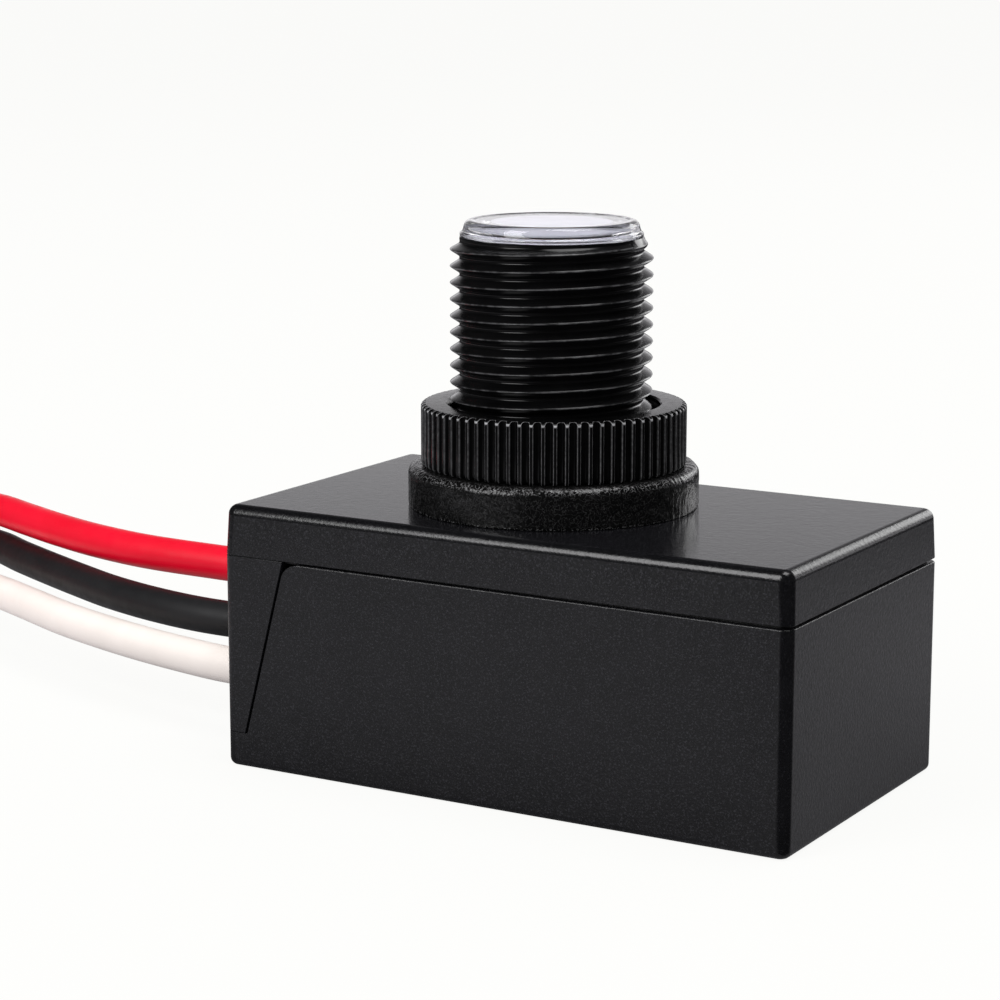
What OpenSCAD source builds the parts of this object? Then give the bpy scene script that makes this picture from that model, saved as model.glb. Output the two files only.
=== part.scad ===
// Photocell switch: a moulded case with a threaded nipple, a clear lens cap on
// the nipple's end, a rubber gasket, a ribbed hand nut and three short leads.
// Millimetres. Origin at the centre of the case's underside, +Z along the
// nipple, +X away from the end that the leads leave.

/* [Case] */
// Length of the case along X
box_l = 66; // [64:0.5:70]
// Depth of the case along Y
box_w = 37; // [36:0.5:40]
// Height of the case to the top of the cover
box_h = 28.5; // [28:0.25:31]
// Height of the seam between base and cover
seam_z = 23; // [22.8:0.1:23.4]
// Open height of the seam
seam_gap = 0.3; // [0.2:0.05:0.5]
// Wall thickness of the case
wall = 2; // [1.8:0.1:2.2]
// Radius of the case's upright edges
corner_r = 1.2; // [1:0.1:1.6]

/* [End plug] */
// Height of the plug's underside
plug_z = 3.8; // [3.6:0.1:4.2]
// Width of the plug's flank at its foot
plug_foot = 2.5; // [2.4:0.1:3]
// Width of the plug's flank at the seam
plug_head = 7.6; // [6.8:0.1:7.6]
// Open width of the slanted joint
plug_gap = 0.3; // [0.15:0.05:0.35]

/* [Nipple] */
// Offset of the nipple's axis from the case's centre
nip_x = -3.5; // [-4:0.1:-3]
// Radius over the thread's crests
thread_r = 10.6; // [10.4:0.05:10.7]
// Plain radius below the nut's top face
shank_r = 10.2; // [10:0.05:10.3]
// Radius of the plain neck under the lens
neck_r = 9.6; // [9.5:0.05:9.8]
// Height of the thread's upper end
thread_top = 55.9; // [55.5:0.1:56]
// Height of the nipple's rim
nip_top = 56.8; // [56.6:0.1:57.2]

/* [Lens] */
// Radius of the lens cap at its rim
lens_r = 9.5; // [9.3:0.05:9.6]
// Radius of the lens cap's flat top
lens_top_r = 8.5; // [8.2:0.05:8.8]
// Height of the lens cap above the nipple's rim
lens_h = 1.7; // [1.6:0.1:2.2]

/* [Gasket and nut] */
// Outer radius of the gasket
gasket_r = 15.4; // [15:0.1:15.8]
// Height of the gasket
gasket_h = 4.4; // [4:0.1:4.5]
// Radius over the nut's ribs
nut_r = 14; // [13.6:0.1:14.2]
// Height of the nut
nut_h = 6.4; // [6.2:0.1:6.6]
// Number of ribs round the nut
nut_ribs = 72; // [60:1:76]
// Depth of the grooves between the ribs
rib_d = 0.5; // [0.3:0.05:0.6]
// Radius of the nut's opening
nut_bore = 11.1; // [11.05:0.05:11.2]

/* [Leads] */
// Diameter over the insulation
lead_d = 4.1; // [3.6:0.05:4.15]
// Radius of the stripped conductor
core_r = 0.9; // [0.6:0.05:1]

/* [Hidden] */
$fn = 64;

black_case = [0.10, 0.10, 0.105];
base_top = seam_z - seam_gap / 2;      // upper edge of the base's walls
cover_z = seam_z + seam_gap / 2;       // lower edge of the cover's skirt
roof_z = box_h - 2.2;                  // underside of the cover's roof
floor_t = 2;                           // thickness of the base's floor
posts = [[28.4, 13.9], [28.4, -13.9], [-20, 13.9], [-20, -13.9]];
post_r = 3.4;
board_z = 5.5;                         // underside of the board
board_t = 1.6;
bt = board_z + board_t;                // top of the board
board_holes = [[-13, 0], [21.5, 13]];
board_rests = [[-13, 13], [21.5, -13]];
holder_z = 47.5;                       // shoulder in the nipple's bore
cell_z = holder_z + 3.5;
nut_z = box_h + gasket_h + 0.05;
ring_at = [nip_x + 0.24, 0.14];       // gasket and nut, off the axis by part of their slack
sense_pins = [[nip_x, 2.5], [nip_x, -2.5]];

// Where each lead leaves the case, Y and Z
out_red = [7, 15.3];
out_black = [0, 10.7];
out_white = [-7, 7.5];
lead_in = -22;                         // inner end of the insulation

// Routes of the leads. Each runs straight out, sweeps back, comes down to the
// surface and turns round on it.
route_red = [[-22, 7, 15.3], [-33, 7, 15.3], [-43, 7, 15.3], [-53, 7.1, 15.3],
  [-63, 7.6, 15.3], [-72, 9.5, 15.3], [-80, 12.2, 15.3], [-88, 15.5, 15.3],
  [-95, 18.4, 15.3], [-104, 21.8, 14.6], [-113, 19, 12.8], [-120, 13, 10.4],
  [-124.2, 3.5, 8], [-125, -5.5, 6.3], [-122, -14, 5.9], [-115.5, -21, 5.9],
  [-109, -24, 5.9], [-104, -25, 5.9]];
route_black = [[-22, 0, 10.7], [-33, 0, 10.7], [-42, 0, 10.7], [-50, 0.2, 10.7],
  [-58, 1.7, 10.7], [-66, 4.2, 10.7], [-73.5, 7.4, 10.7], [-80.5, 10.6, 10.7],
  [-88, 14.2, 10.7], [-95, 17.8, 10.7], [-104, 21.8, 9.9], [-113.5, 20, 8],
  [-121.2, 14, 5.7], [-126.2, 4, 3.6], [-127.2, -5.5, 2.4], [-124, -15, 2.1],
  [-116.6, -22.8, 2.1], [-109.5, -26.1, 2.1], [-104, -27, 2.1]];
route_white = [[-22, -7, 7.5], [-33, -7, 7.5], [-41, -7, 7.5], [-48, -5.8, 7.5],
  [-55.5, -4, 7.5], [-63, -1.7, 7.5], [-71, 1.2, 7.5], [-79, 4.8, 7.5],
  [-87, 8.5, 7.4], [-95.5, 12.2, 7], [-104, 14.8, 6.2], [-112, 13.7, 4.8],
  [-118.2, 9.2, 3.4], [-121.8, 2.7, 2.4], [-122.5, -5, 2.1], [-119.8, -12.8, 2.1],
  [-114.2, -18.8, 2.1], [-108.4, -21.6, 2.1], [-104, -22.4, 2.1]];

function unit(v) = v / norm(v);
// Direction of a route at its i-th point
function heading(p, i) = unit(p[min(i + 1, len(p) - 1)] - p[max(i - 1, 0)]);
function side_of(t) = unit(cross(t, [0, 0, 1]));
// Ring of n points round the i-th point of a route
function ring(p, i, r, n) = let(t = heading(p, i), a = side_of(t), b = cross(a, t))
  [for (k = [0:n - 1]) p[i] + r * (cos(360 * (k + 0.5) / n) * a
                                 + sin(360 * (k + 0.5) / n) * b)];
// Arc of points about c, from angle a0 to a1
function arc(c, r, a0, a1, n) =
  [for (k = [0:n]) let(a = a0 + (a1 - a0) * k / n) [c[0] + r * cos(a), c[1] + r * sin(a)]];

// Tube swept along a route, closed at both ends
module tube(p, r, n = 8) {
  m = len(p);
  pts = [for (i = [0:m - 1]) each ring(p, i, r, n)];
  walls = [for (i = [0:m - 2], k = [0:n - 1]) let(k1 = (k + 1) % n)
    each [[i * n + k, i * n + k1, (i + 1) * n + k1],
          [i * n + k, (i + 1) * n + k1, (i + 1) * n + k]]];
  first = [[for (k = [n - 1:-1:0]) k]];
  last = [[for (k = [0:n - 1]) (m - 1) * n + k]];
  polyhedron(points = pts, faces = concat(walls, first, last), convexity = 6);
}

// Rectangle with round corners
module rrect(l, w, r) {
  square([l - 2 * r, w], center = true);
  square([l, w - 2 * r], center = true);
  for (i = [-1, 1], j = [-1, 1])
    translate([i * (l / 2 - r), j * (w / 2 - r)]) circle(r);
}

// Round bar from a to b
module bar(a, b, r) {
  d = b - a;
  translate(a) rotate([0, acos(d[2] / norm(d)), atan2(d[1], d[0])])
    cylinder(r = r, h = norm(d));
}

// Wire run from a past m, with a thinner drop from m to b
module bent(a, m, b, r) {
  bar(a, m + 1.4 * r * unit(m - a), r);
  bar(m, b, 0.85 * r);
}

// Side view of the wedge at the lead end, X and Z, grown by g along X
module wedge_side(g, x0, z1) {
  k = (plug_head - plug_foot) / (seam_z - plug_z);
  polygon([[x0, plug_z], [-box_l / 2 + plug_foot + g, plug_z],
    [-box_l / 2 + plug_foot + g + k * (z1 - plug_z), z1], [x0, z1]]);
}
module wedge(g, x0, z1, w) {
  rotate([90, 0, 0]) linear_extrude(w, center = true) wedge_side(g, x0, z1);
}

// Axial component lying along Y, body radius r, length l, wires p apart
module axial(r, l, p) {
  translate([0, 0, r + 0.4]) {
    rotate([90, 0, 0]) cylinder(r = r, h = l, center = true);
    rotate([90, 0, 0]) cylinder(r = 0.35, h = p, center = true);
    for (s = [-1, 1]) translate([0, s * p / 2, 0]) sphere(0.35);
  }
  for (s = [-1, 1]) translate([0, s * p / 2, 0]) cylinder(r = 0.35, h = r + 0.4);
}

// Lower half of the case, with screw posts and board bosses
module base_housing() {
  color(black_case) difference() {
    union() {
      difference() {
        linear_extrude(base_top) rrect(box_l, box_w, corner_r);
        translate([0, 0, floor_t]) linear_extrude(box_h)
          rrect(box_l - 2 * wall, box_w - 2 * wall, 1);
      }
      for (p = posts) translate([p[0], p[1], 1]) cylinder(r = post_r, h = base_top - 1);
      for (p = board_holes) translate([p[0], p[1], 1]) cylinder(r = 2.4, h = board_z - 1);
      for (p = board_rests) translate([p[0], p[1], 1]) cylinder(r = 1.8, h = board_z - 1);
    }
    wedge(plug_gap, -box_l / 2 - 2, box_h, box_w + 4);
    for (p = posts) translate([p[0], p[1], 0]) {
      translate([0, 0, -1]) cylinder(r = 2.8, h = 3.4);
      cylinder(r = 1.6, h = box_h);
    }
    for (p = board_holes) translate([p[0], p[1], 2.8]) cylinder(r = 1.05, h = 6);
  }
}

// Upper half of the case and its hollow nipple
module top_cover() {
  color(black_case) difference() {
    union() {
      difference() {
        translate([0, 0, cover_z]) linear_extrude(box_h - cover_z) rrect(box_l, box_w, corner_r);
        translate([0, 0, cover_z - 1]) linear_extrude(roof_z - cover_z + 1)
          rrect(box_l - 2 * wall, box_w - 2 * wall, 1);
      }
      for (p = posts) translate([p[0], p[1], cover_z]) cylinder(r = post_r, h = box_h - cover_z - 1);
      translate([nip_x, 0, 0]) {
        translate([0, 0, roof_z]) cylinder(r = shank_r, h = nip_top - roof_z - 2);
        translate([0, 0, nut_z + nut_h + 0.4])
          cylinder(r = thread_r, h = thread_top - nut_z - nut_h - 0.4);
        translate([0, 0, thread_top - 1]) cylinder(r = neck_r, h = nip_top - thread_top + 1);
      }
    }
    translate([nip_x, 0, 0]) {
      translate([0, 0, roof_z - 1]) cylinder(r = 6.9, h = 60);
      translate([0, 0, holder_z]) cylinder(r = 7.7, h = 60);
      translate([0, 0, nip_top - 1]) cylinder(r = 8.4, h = 10);
    }
    for (p = posts) translate([p[0], p[1], cover_z - 1]) cylinder(r = 1.43, h = 4.2);
  }
}

// Wedge-shaped end piece with the three lead holes
module end_plug() {
  top = cover_z - 0.05;
  color(black_case) difference() {
    intersection() {
      wedge(0, -box_l / 2 - 2, top, box_w + 4);
      linear_extrude(box_h) rrect(box_l, box_w, corner_r);
    }
    translate([-box_l / 2 + 2.2, -(box_w - 2 * wall) / 2, plug_z + 1.2])
      cube([20, box_w - 2 * wall, box_h]);
    translate([0, 0, base_top]) linear_extrude(5) rrect(box_l - 1, box_w - 1, 1);
    for (o = [out_red, out_black, out_white])
      translate([-box_l / 2 - 1, o[0], o[1]]) rotate([0, 90, 0]) cylinder(r = lead_d / 2 + 0.1, h = 6);
  }
}

// Flat ring in the seam, set back from the outer face
module cover_seal() {
  color([0.16, 0.16, 0.17]) translate([0, 0, base_top]) linear_extrude(seam_gap) difference() {
    rrect(box_l - 1.4, box_w - 1.4, 0.9);
    rrect(box_l - 3.6, box_w - 3.6, 0.6);
  }
}

// Clear cap with a flared rim and a hollow spigot
module lens_cap() {
  color([0.88, 0.92, 0.96, 0.5]) translate([nip_x, 0, 0]) rotate_extrude() polygon(concat(
    [[0, nip_top + 0.8], [6.2, nip_top + 0.8], [6.4, nip_top + 0.6], [6.4, nip_top - 3],
     [7.5, nip_top - 3], [7.5, nip_top + 0.02], [lens_r, nip_top + 0.02],
     [lens_r, nip_top + 0.5], [lens_top_r + 0.6, nip_top + lens_h - 0.7]],
    arc([lens_top_r, nip_top + lens_h - 0.6], 0.6, 0, 90, 6),
    [[0, nip_top + lens_h]]));
}

// O-ring under the lens cap
module lens_seal() {
  color([0.12, 0.12, 0.12]) translate([nip_x, 0, nip_top - 0.5])
    rotate_extrude() translate([7.95, 0]) circle(0.41, $fn = 32);
}

// Rubber ring at the foot of the nipple
module mounting_gasket() {
  color([0.07, 0.07, 0.07]) translate([ring_at[0], ring_at[1], box_h]) rotate_extrude() polygon(concat(
    [[10.65, 0], [gasket_r - 0.25, 0], [gasket_r, 0.25]],
    arc([gasket_r - 0.95, gasket_h - 0.95], 0.95, 0, 90, 8),
    [[10.65, gasket_h]]));
}

// Hand nut: upright ribs, a flat top with a rounded edge and a plain opening
module lock_nut() {
  color([0.06, 0.06, 0.065]) translate([ring_at[0], ring_at[1], nut_z]) difference() {
    union() {
      linear_extrude(nut_h - 0.4) polygon([for (i = [0:nut_ribs - 1]) each
        [for (q = [[-0.5, rib_d], [-0.3, 0.12], [0, 0], [0.3, 0.12]])
          let(a = 360 * (i + q[0]) / nut_ribs, r = nut_r - q[1]) [r * cos(a), r * sin(a)]]]);
      translate([0, 0, nut_h - 0.5]) rotate_extrude() polygon(concat(
        [[0, 0], [nut_r - rib_d + 0.1, 0]],
        arc([nut_r - rib_d - 0.3, 0.1], 0.4, 0, 90, 6), [[0, 0.5]]));
    }
    translate([0, 0, -1]) cylinder(r = nut_bore, h = nut_h + 2);
    translate([0, 0, nut_h - 0.25]) cylinder(r1 = nut_bore, r2 = nut_bore + 0.35, h = 0.35);
  }
}

// Board with its two screw holes
module circuit_board() {
  color([0.55, 0.42, 0.2]) difference() {
    translate([-16, -15.8, board_z]) cube([40.6, 31.6, board_t]);
    for (p = board_holes) translate([p[0], p[1], 0]) cylinder(r = 1.35, h = 20);
  }
}

// Light-dependent cell, a flat disc under the lens
module light_sensor() {
  color([0.85, 0.6, 0.45]) translate([nip_x, 0, cell_z]) {
    cylinder(r = 5, h = 1.6);
    translate([0, 0, 1.6]) cylinder(r1 = 5, r2 = 4.6, h = 0.5);
  }
}

// Disc that carries the cell on the shoulder in the nipple
module sensor_holder() {
  color([0.85, 0.84, 0.8]) translate([nip_x, 0, holder_z]) difference() {
    cylinder(r = 7.6, h = cell_z - holder_z);
    for (s = [-1, 1]) translate([0, s * 2.5, -1]) cylinder(r = 0.6, h = 10);
  }
}

// Two wires from the cell down to the board
module sensor_leads() {
  color([0.8, 0.8, 0.82])
    for (p = sense_pins) translate([p[0], p[1], bt]) cylinder(r = 0.35, h = cell_z - bt);
}

// Sealed cube relay
module relay() {
  color([0.1, 0.25, 0.6]) difference() {
    translate([4.8, -13.55, bt]) cube([19, 15.5, 15.2]);
    translate([4.8, -5.8, bt + 15.2]) rotate([0, 45, 0]) cube([1, 40, 1], center = true);
    translate([4.8, -13.55, bt - 0.01]) translate([2, -1, 0]) cube([15, 20, 0.5]);
  }
}

// Box-shaped film capacitor
module film_capacitor() {
  color([0.85, 0.7, 0.1]) translate([5.3, 4.4, bt]) cube([18, 6, 12]);
}

// Upright can capacitor with a rolled groove
module smoothing_capacitor() {
  color([0.1, 0.12, 0.3]) translate([-9.5, -10, bt]) rotate_extrude() polygon([
    [0, 0], [3.8, 0], [4, 0.2], [4, 1.4], [3.6, 1.8], [4, 2.2], [4, 11.2], [3.7, 11.5], [0, 11.5]]);
}

// Disc varistor on two wires
module varistor() {
  color([0.15, 0.3, 0.7]) translate([-9.5, 10.5, bt]) {
    translate([0, 0, 6]) rotate([90, 0, 0]) cylinder(r = 4.2, h = 3.4, center = true);
    for (s = [-1, 1]) translate([s * 2.5, 0, 0]) cylinder(r = 0.4, h = 4);
  }
}

// Axial resistors
module resistors() {
  color([0.75, 0.62, 0.42]) {
    for (s = [-1, 1]) translate([2.6, s * 9, bt]) axial(1.2, 6.4, 10);
    translate([-9.5, 4.2, bt]) rotate(90) axial(1.2, 6.4, 9.6);
  }
}

// Axial rectifier diodes
module rectifier_diodes() {
  color([0.12, 0.12, 0.12])
    for (x = [-0.7, -3.9], s = [-1, 1]) translate([x, s * 9.5, bt]) axial(1.3, 5.2, 8);
}

// Small glass diode
module zener_diode() {
  color([0.75, 0.35, 0.2]) translate([13.5, 13.2, bt]) rotate(90) axial(1, 4, 8);
}

// Three-legged transistor with a flat face
module transistor() {
  color([0.1, 0.1, 0.1]) translate([0.6, 0, bt]) {
    translate([0, 0, 2]) difference() {
      cylinder(r = 2.4, h = 4.6);
      translate([1.6, -5, -1]) cube([5, 10, 10]);
    }
    for (s = [-1.27, 0, 1.27]) translate([0, s, 0]) cylinder(r = 0.3, h = 2.5);
  }
}

// Pan-head screws that hold the board
module board_screws() {
  color([0.75, 0.75, 0.76]) for (p = board_holes) translate([p[0], p[1], 0]) {
    translate([0, 0, 3.2]) cylinder(r = 1, h = bt - 3.2);
    translate([0, 0, bt]) difference() {
      cylinder(r = 2.2, h = 1.5);
      for (a = [0, 90]) rotate(a) translate([-1.4, -0.3, 0.7]) cube([2.8, 0.6, 2]);
    }
  }
}

// Long screws from the underside into the cover
module cover_screws() {
  color([0.72, 0.72, 0.74]) for (p = posts) translate([p[0], p[1], 0]) {
    translate([0, 0, 0.4]) difference() {
      cylinder(r = 2.6, h = 2);
      for (a = [0, 90]) rotate(a) translate([-1.6, -0.35, -1]) cube([3.2, 0.7, 2]);
    }
    translate([0, 0, 2.4]) cylinder(r = 1.4, h = 23.4);
  }
}

// Rubber block that grips the leads behind the end piece
module lead_grommet() {
  color([0.2, 0.2, 0.2]) difference() {
    translate([-box_l / 2 + 2.25, -11, plug_z + 1.25]) cube([3.4, 22, 14.2]);
    for (o = [out_red, out_black, out_white])
      translate([-box_l / 2 - 1, o[0], o[1]]) rotate([0, 90, 0]) cylinder(r = lead_d / 2 + 0.03, h = 12);
  }
}

// Inner bare ends of the leads, down to the board
module lead_tails() {
  color([0.8, 0.5, 0.3]) {
    bent([lead_in + 0.35, out_red[0], out_red[1]], [-14.9, 8, out_red[1]], [-14.9, 8, bt], 0.7);
    bent([lead_in + 0.35, out_black[0], out_black[1]], [-14.9, -3.6, out_black[1]], [-14.9, -3.6, bt], 0.7);
    bent([lead_in + 0.35, out_white[0], out_white[1]], [-14.9, -7.6, 9.6], [-14.9, -7.6, bt], 0.7);
  }
}

module lead_red() { color([0.9, 0.04, 0.15]) tube(route_red, lead_d / 2); }
module lead_black() { color([0.1, 0.1, 0.1]) tube(route_black, lead_d / 2); }
module lead_white() { color([0.97, 0.95, 0.92]) tube(route_white, lead_d / 2); }

// Stripped outer ends of the leads
module lead_tips() {
  color([0.8, 0.5, 0.3]) for (p = [route_red, route_black, route_white]) {
    e = p[len(p) - 1];
    d = heading(p, len(p) - 1);
    bar(e, e + 10 * d, core_r);
  }
}

base_housing();
top_cover();
end_plug();
cover_seal();
lens_cap();
lens_seal();
mounting_gasket();
lock_nut();
circuit_board();
light_sensor();
sensor_holder();
sensor_leads();
relay();
film_capacitor();
smoothing_capacitor();
varistor();
resistors();
rectifier_diodes();
zener_diode();
transistor();
board_screws();
cover_screws();
lead_grommet();
lead_tails();
lead_red();
lead_black();
lead_white();
lead_tips();
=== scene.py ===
import math

import bpy
import numpy as np
from mathutils import Matrix, Vector, noise


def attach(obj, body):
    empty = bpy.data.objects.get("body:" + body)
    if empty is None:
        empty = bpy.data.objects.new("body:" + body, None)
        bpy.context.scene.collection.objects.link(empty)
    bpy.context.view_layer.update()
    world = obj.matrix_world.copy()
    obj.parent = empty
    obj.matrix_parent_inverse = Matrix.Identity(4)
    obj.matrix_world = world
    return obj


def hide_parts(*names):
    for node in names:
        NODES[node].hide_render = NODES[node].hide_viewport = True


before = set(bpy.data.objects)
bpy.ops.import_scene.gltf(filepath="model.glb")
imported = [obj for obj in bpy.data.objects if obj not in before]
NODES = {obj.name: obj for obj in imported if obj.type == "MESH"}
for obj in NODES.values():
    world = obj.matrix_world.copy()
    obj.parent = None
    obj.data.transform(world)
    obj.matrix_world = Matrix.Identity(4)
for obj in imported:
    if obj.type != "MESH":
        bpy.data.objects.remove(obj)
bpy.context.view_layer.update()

SCENE = bpy.context.scene

# ---------------------------------------------------------------- sizes, in mm
BOX_L, BOX_W, BOX_H = 66.0, 37.0, 28.5
BASE_TOP, COVER_Z = 22.85, 23.15
CORNER = 1.2
PLUG_Z, PLUG_FOOT, PLUG_HEAD, PLUG_GAP = 3.8, 2.5, 7.6, 0.3
PLUG_SLOPE = (PLUG_HEAD - PLUG_FOOT) / (23.0 - PLUG_Z)
NIP_X, NIP_TOP = -3.5, 56.8
PITCH, CREST, ROOT, NECK = 1.743, 10.6, 9.63, 9.6
GASKET_Z, GASKET_H, GASKET_R = 28.5, 4.4, 15.4
NUT_Z, NUT_H, NUT_R, NUT_RIBS = 32.95, 6.4, 14.0, 72
RING = (NIP_X + 0.24, 0.14)
LENS_H = 1.7
LEAD_R, CORE_R = 2.05, 0.9
POSTS = [(28.4, 13.9), (28.4, -13.9), (-20.0, 13.9), (-20.0, -13.9)]
EXITS = {"red": (7.0, 15.3), "black": (0.0, 10.7), "white": (-7.0, 7.5)}

# ---------------------------------------------------------------- camera
cam_data = bpy.data.cameras.new("camera")
cam = bpy.data.objects.new("camera", cam_data)
SCENE.collection.objects.link(cam)
cam.location = (0.14213, -0.25817, 0.08684)
cam.rotation_euler = (math.radians(90 - 11.084), 0.0, math.radians(30.468))
cam_data.lens = 102.6
cam_data.sensor_width = 36.0
cam_data.clip_start = 0.01
cam_data.clip_end = 60.0
SCENE.camera = cam


# ---------------------------------------------------------------- mesh helpers
def make(name, verts, faces):
    """A mesh object from points in millimetres."""
    me = bpy.data.meshes.new(name)
    co = np.asarray(verts, float).reshape(-1, 3) * 0.001
    me.from_pydata(co.tolist(), [], faces)
    me.update()
    ob = bpy.data.objects.new(name, me)
    SCENE.collection.objects.link(ob)
    return ob


def bake(ob):
    """Turns an object's modifiers into its mesh."""
    dg = bpy.context.evaluated_depsgraph_get()
    me = bpy.data.meshes.new_from_object(ob.evaluated_get(dg))
    old = ob.data
    ob.modifiers.clear()
    ob.data = me
    me.name = ob.name
    bpy.data.meshes.remove(old)
    return ob


def boolean(ob, tool, operation):
    mod = ob.modifiers.new("bool", "BOOLEAN")
    mod.operation = operation
    mod.solver = "MANIFOLD"
    mod.object = tool
    bpy.context.view_layer.update()
    bake(ob)
    old = tool.data
    bpy.data.objects.remove(tool)
    bpy.data.meshes.remove(old)
    return ob


def smooth(ob, angle=30.0):
    me = ob.data
    me.polygons.foreach_set("use_smooth", [True] * len(me.polygons))
    me.set_sharp_from_angle(angle=math.radians(angle))
    me.update()
    return ob


def weighted(ob):
    mod = ob.modifiers.new("normals", "WEIGHTED_NORMAL")
    mod.mode = "FACE_AREA"
    mod.weight = 80
    mod.keep_sharp = True
    return ob


def rrect(l, w, r, z, n=8):
    """One round-cornered loop, anticlockwise seen from above."""
    pts = []
    for sx, sy, a0 in ((1, 1, 0), (-1, 1, 90), (-1, -1, 180), (1, -1, 270)):
        for k in range(n + 1):
            a = math.radians(a0 + 90.0 * k / n)
            pts.append((sx * (l / 2 - r) + r * math.cos(a), sy * (w / 2 - r) + r * math.sin(a), z))
    return pts


def loft(name, loops):
    """Closed skin over loops of equal length, capped at the first and the last."""
    n = len(loops[0])
    verts = [p for lp in loops for p in lp]
    faces = [[i * n + k, i * n + (k + 1) % n, (i + 1) * n + (k + 1) % n, (i + 1) * n + k]
             for i in range(len(loops) - 1) for k in range(n)]
    faces.append(list(range(n - 1, -1, -1)))
    faces.append([(len(loops) - 1) * n + k for k in range(n)])
    return make(name, verts, faces)


def prism_y(name, outline, y0, y1):
    """Solid with an X-Z outline, anticlockwise seen from -Y, from y0 to y1."""
    n = len(outline)
    verts = [(x, y0, z) for x, z in outline] + [(x, y1, z) for x, z in outline]
    faces = [list(range(n)), list(range(2 * n - 1, n - 1, -1))]
    faces += [[k, n + k, n + (k + 1) % n, (k + 1) % n] for k in range(n)]
    return make(name, verts, faces)


def revolve(name, profile, centre=(0.0, 0.0), n=96, closed=True, warp=None):
    """Solid of revolution about Z. The profile runs (r, z) anticlockwise in the r-z half plane; points at r = 0 become poles."""
    verts, rows = [], []
    for r, z in profile:
        if r < 1e-9:
            rows.append([len(verts)] * n)
            verts.append((centre[0], centre[1], z))
        else:
            row = []
            for k in range(n):
                a = 2 * math.pi * k / n
                rr, zz = (r, z) if warp is None else warp(r, z, a)
                row.append(len(verts))
                verts.append((centre[0] + rr * math.cos(a), centre[1] + rr * math.sin(a), zz))
            rows.append(row)
    faces = []
    m = len(rows)
    for i in range(m if closed else m - 1):
        a, b = rows[i], rows[(i + 1) % m]
        if a[0] == a[1] and b[0] == b[1]:
            continue
        for k in range(n):
            k1 = (k + 1) % n
            if a[0] == a[1]:
                faces.append([a[0], b[k1], b[k]])
            elif b[0] == b[1]:
                faces.append([a[k], a[k1], b[0]])
            else:
                faces.append([a[k], a[k1], b[k1], b[k]])
    return make(name, verts, faces)


def arc(c, r, a0, a1, n):
    return [(c[0] + r * math.cos(math.radians(a0 + (a1 - a0) * k / n)),
             c[1] + r * math.sin(math.radians(a0 + (a1 - a0) * k / n))) for k in range(n + 1)]


def rod(name, centre, r, z0, z1, n=48):
    """Round tool from z0 to z1."""
    return revolve(name, [(0, z0), (r, z0), (r, z1), (0, z1)], centre, n, closed=False)


def step(x, a, b):
    t = min(1.0, max(0.0, (x - a) / (b - a)))
    return t * t * (3 - 2 * t)


def spline(points, per):
    """Catmull-Rom points through a route."""
    p = [np.array(q, float) for q in points]
    p = [2 * p[0] - p[1]] + p + [2 * p[-1] - p[-2]]
    out = []
    for i in range(1, len(p) - 2):
        for k in range(per):
            t = k / per
            out.append(0.5 * (2 * p[i] + (p[i + 1] - p[i - 1]) * t
                              + (2 * p[i - 1] - 5 * p[i] + 4 * p[i + 1] - p[i + 2]) * t * t
                              + (3 * p[i] - p[i - 1] - 3 * p[i + 1] + p[i + 2]) * t ** 3))
    out.append(p[-2])
    return out


def frames(path):
    """Tangent and two normals along a path, without twist."""
    out, side = [], None
    for i in range(len(path)):
        t = path[min(i + 1, len(path) - 1)] - path[max(i - 1, 0)]
        t = t / np.linalg.norm(t)
        if side is None:
            side = np.cross(t, (0, 0, 1.0))
        side = side - t * np.dot(side, t)
        side = side / np.linalg.norm(side)
        out.append((t, side, np.cross(side, t)))
    return out


def tube_rows(path, radii, n, verts, rows):
    """Adds rings of n points round a path to verts and rows."""
    for (t, a, b), p, r in zip(frames(path), path, radii):
        rows.append(list(range(len(verts), len(verts) + n)))
        for k in range(n):
            q = 2 * math.pi * (k + 0.5) / n
            verts.append(p + r * (math.cos(q) * a + math.sin(q) * b))


def skin(rows, faces, caps=(True, True)):
    n = len(rows[0])
    for a, b in zip(rows[:-1], rows[1:]):
        faces += [[a[k], a[(k + 1) % n], b[(k + 1) % n], b[k]] for k in range(n)]
    if caps[0]:
        faces.append(rows[0][::-1])
    if caps[1]:
        faces.append(list(rows[-1]))


# ---------------------------------------------------------------- materials
def new_mat(name):
    mat = bpy.data.materials.new(name)
    mat.use_nodes = True
    nt = mat.node_tree
    return mat, nt, nt.nodes["Principled BSDF"]


def coords(nt, stretch=None):
    tc = nt.nodes.new("ShaderNodeTexCoord")
    if stretch is None:
        return tc.outputs["Object"]
    mp = nt.nodes.new("ShaderNodeMapping")
    mp.inputs["Scale"].default_value = stretch
    nt.links.new(tc.outputs["Object"], mp.inputs["Vector"])
    return mp.outputs["Vector"]


def noise_tex(nt, vec, scale, detail=3.0, rough=0.55, distortion=0.0):
    n = nt.nodes.new("ShaderNodeTexNoise")
    n.inputs["Scale"].default_value = scale
    n.inputs["Detail"].default_value = detail
    n.inputs["Roughness"].default_value = rough
    n.inputs["Distortion"].default_value = distortion
    nt.links.new(vec, n.inputs["Vector"])
    return n.outputs["Fac"]


def ramp(nt, fac, stops):
    r = nt.nodes.new("ShaderNodeValToRGB")
    els = r.color_ramp.elements
    while len(els) < len(stops):
        els.new(0.5)
    for e, (p, c) in zip(els, stops):
        e.position = p
        e.color = (*c, 1.0) if len(c) == 3 else c
    nt.links.new(fac, r.inputs["Fac"])
    return r.outputs["Color"]


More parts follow.
